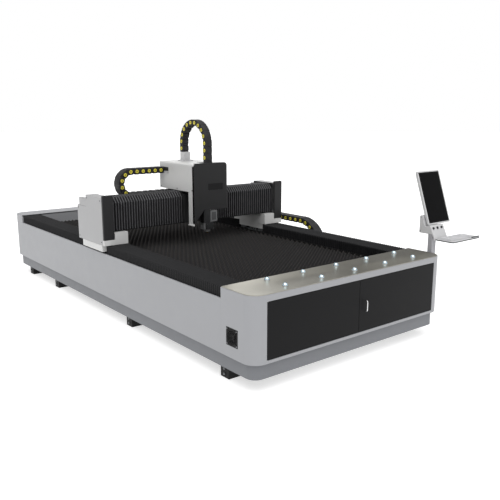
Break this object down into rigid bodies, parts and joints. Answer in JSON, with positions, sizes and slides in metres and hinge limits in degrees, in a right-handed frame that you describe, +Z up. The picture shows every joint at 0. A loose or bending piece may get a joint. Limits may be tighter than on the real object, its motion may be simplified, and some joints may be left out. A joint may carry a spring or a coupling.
{
  "type": "fiber laser cutting machine",
  "caption": "Flat-bed laser cutting machine: a long slatted bed with a travelling gantry, lifting cutting head, energy chains, pleated way covers, cabinet doors and an operator console",
  "frame": {"origin": "on the floor at the centre of the four corner feet's anchor holes", "axes": "+Z up, +Y along the bed away from the cabinet doors, +X to the right seen from the doors"},
  "size_m": [2.484, 4.5585, 1.7828],
  "materials": {
    "frame_paint": "satin",
    "plinth_paint": "satin",
    "shell_paint": "satin",
    "door_paint": "satin",
    "foot_paint": "matte",
    "stainless": "brushed",
    "ball_steel": "polished",
    "slat_steel": "matte",
    "rail_steel": "ground",
    "bellows_fabric": "coated",
    "cover_paint": "satin",
    "black_paint": "satin",
    "machined_steel": "machined",
    "head_aluminium": "anodised",
    "nozzle_metal": "turned",
    "chain_plastic": "moulded",
    "motor_black": "matte",
    "drive_plastic": "moulded",
    "zinc_sheet": "zinc plated",
    "fan_plastic": "moulded",
    "console_paint": "satin",
    "screen_glass": "glossy",
    "key_plastic": "moulded",
    "button_plastic": "glossy",
    "chrome_pull": "polished"
  },
  "bodies": {
    "bed": {"base_frame": "frame_paint", "plinth_skirt": "plinth_paint", "foot_blocks": "foot_paint", "side_panel_left": "shell_paint", "side_panel_right": "shell_paint", "front_end_cap": "shell_paint", "rear_end_cap": "shell_paint", "front_top_plate": "stainless", "ball_units": "ball_steel", "slat_frame": "frame_paint", "slats": "slat_steel", "slag_tray": "frame_paint", "y_rails": "rail_steel", "y_racks": "rail_steel", "y_bellows_front": "bellows_fabric", "y_bellows_rear": "bellows_fabric", "y_chain": "chain_plastic", "y_chain_tray": "shell_paint", "mounting_plate": "zinc_sheet", "drive_modules": "drive_plastic", "fan_housing": "fan_plastic", "console_post": "console_paint", "console_box": "cover_paint", "console_housing": "console_paint", "display": "screen_glass", "keyboard_tray": "console_paint", "keyboard": "key_plastic"},
    "gantry": {"gantry_beam": "frame_paint", "gantry_feet": "cover_paint", "gantry_end_plates": "black_paint", "gantry_covers": "cover_paint", "y_bearings": "machined_steel", "y_motors": "motor_black", "x_rails": "rail_steel", "x_rack": "rail_steel", "x_bellows_left": "bellows_fabric", "x_bellows_right": "bellows_fabric", "x_chain": "chain_plastic", "x_chain_tray": "cover_paint"},
    "carriage": {"carriage_plate": "machined_steel", "carriage_housing": "cover_paint", "carriage_cover": "black_paint", "x_bearings": "machined_steel", "x_motor": "motor_black", "z_module": "machined_steel", "z_chain": "chain_plastic", "chain_brackets": "black_paint"},
    "lift": {"z_slide": "machined_steel", "cutting_head": "head_aluminium", "nozzle": "nozzle_metal"},
    "door_left": {"door_left": "door_paint"},
    "door_right": {"door_right": "door_paint", "door_pull": "chrome_pull"},
    "fan_rotor": {"fan_rotor": "fan_plastic"},
    "y_pinion_left": {"y_pinion_left": "machined_steel"},
    "y_pinion_right": {"y_pinion_right": "machined_steel"},
    "x_pinion": {"x_pinion": "machined_steel"},
    "button_left": {"button_left": "button_plastic"},
    "button_middle": {"button_middle": "button_plastic"},
    "button_right": {"button_right": "button_plastic"}
  },
  "joints": [
    {"name": "gantry_slide", "type": "slide", "parent": "bed", "child": "gantry", "axis": [0, 1, 0], "range_m": [-1.5, 1.5], "deforming": ["y_bellows_front", "y_bellows_rear", "y_chain"]},
    {"name": "carriage_slide", "type": "slide", "parent": "gantry", "child": "carriage", "axis": [1, 0, 0], "range_m": [-0.69, 0.69], "deforming": ["x_bellows_left", "x_bellows_right", "x_chain"]},
    {"name": "lift_slide", "type": "slide", "parent": "carriage", "child": "lift", "axis": [0, 0, 1], "range_m": [-0.105, 0.015], "deforming": ["z_chain"]},
    {"name": "door_left_hinge", "type": "hinge", "parent": "bed", "child": "door_left", "pos_m": [-0.8815, -2.3065, 0.4415], "axis": [0, 0, -1], "range_deg": [0, 110]},
    {"name": "door_right_hinge", "type": "hinge", "parent": "bed", "child": "door_right", "pos_m": [0.8815, -2.3065, 0.4415], "axis": [0, 0, 1], "range_deg": [0, 110]},
    {"name": "fan_spin", "type": "hinge", "parent": "bed", "child": "fan_rotor", "pos_m": [-1, -2.088, 0.365], "axis": [1, 0, 0], "continuous": true},
    {"name": "y_pinion_left_spin", "type": "hinge", "parent": "gantry", "child": "y_pinion_left", "pos_m": [-0.9728, 0.1655, 0.612], "axis": [0, 0, 1], "continuous": true},
    {"name": "y_pinion_right_spin", "type": "hinge", "parent": "gantry", "child": "y_pinion_right", "pos_m": [0.9728, 0.1655, 0.612], "axis": [0, 0, 1], "continuous": true},
    {"name": "x_pinion_spin", "type": "hinge", "parent": "carriage", "child": "x_pinion", "pos_m": [0, 0.0053, 1.042], "axis": [0, 0, 1], "continuous": true},
    {"name": "button_left_press", "type": "slide", "parent": "bed", "child": "button_left", "axis": [0, 0.9065, -0.4222], "range_m": [0, 0.003], "stiffness_N_per_m": 300},
    {"name": "button_middle_press", "type": "slide", "parent": "bed", "child": "button_middle", "axis": [0, 0.9065, -0.4222], "range_m": [0, 0.003], "stiffness_N_per_m": 300},
    {"name": "button_right_press", "type": "slide", "parent": "bed", "child": "button_right", "axis": [0, 0.9065, -0.4222], "range_m": [0, 0.003], "stiffness_N_per_m": 300}
  ],
  "couplings": [
    {"joint": "y_pinion_left_spin", "follows": "gantry_slide", "rad_per_m": -50},
    {"joint": "y_pinion_right_spin", "follows": "gantry_slide", "rad_per_m": 50},
    {"joint": "x_pinion_spin", "follows": "carriage_slide", "rad_per_m": -50}
  ]
}
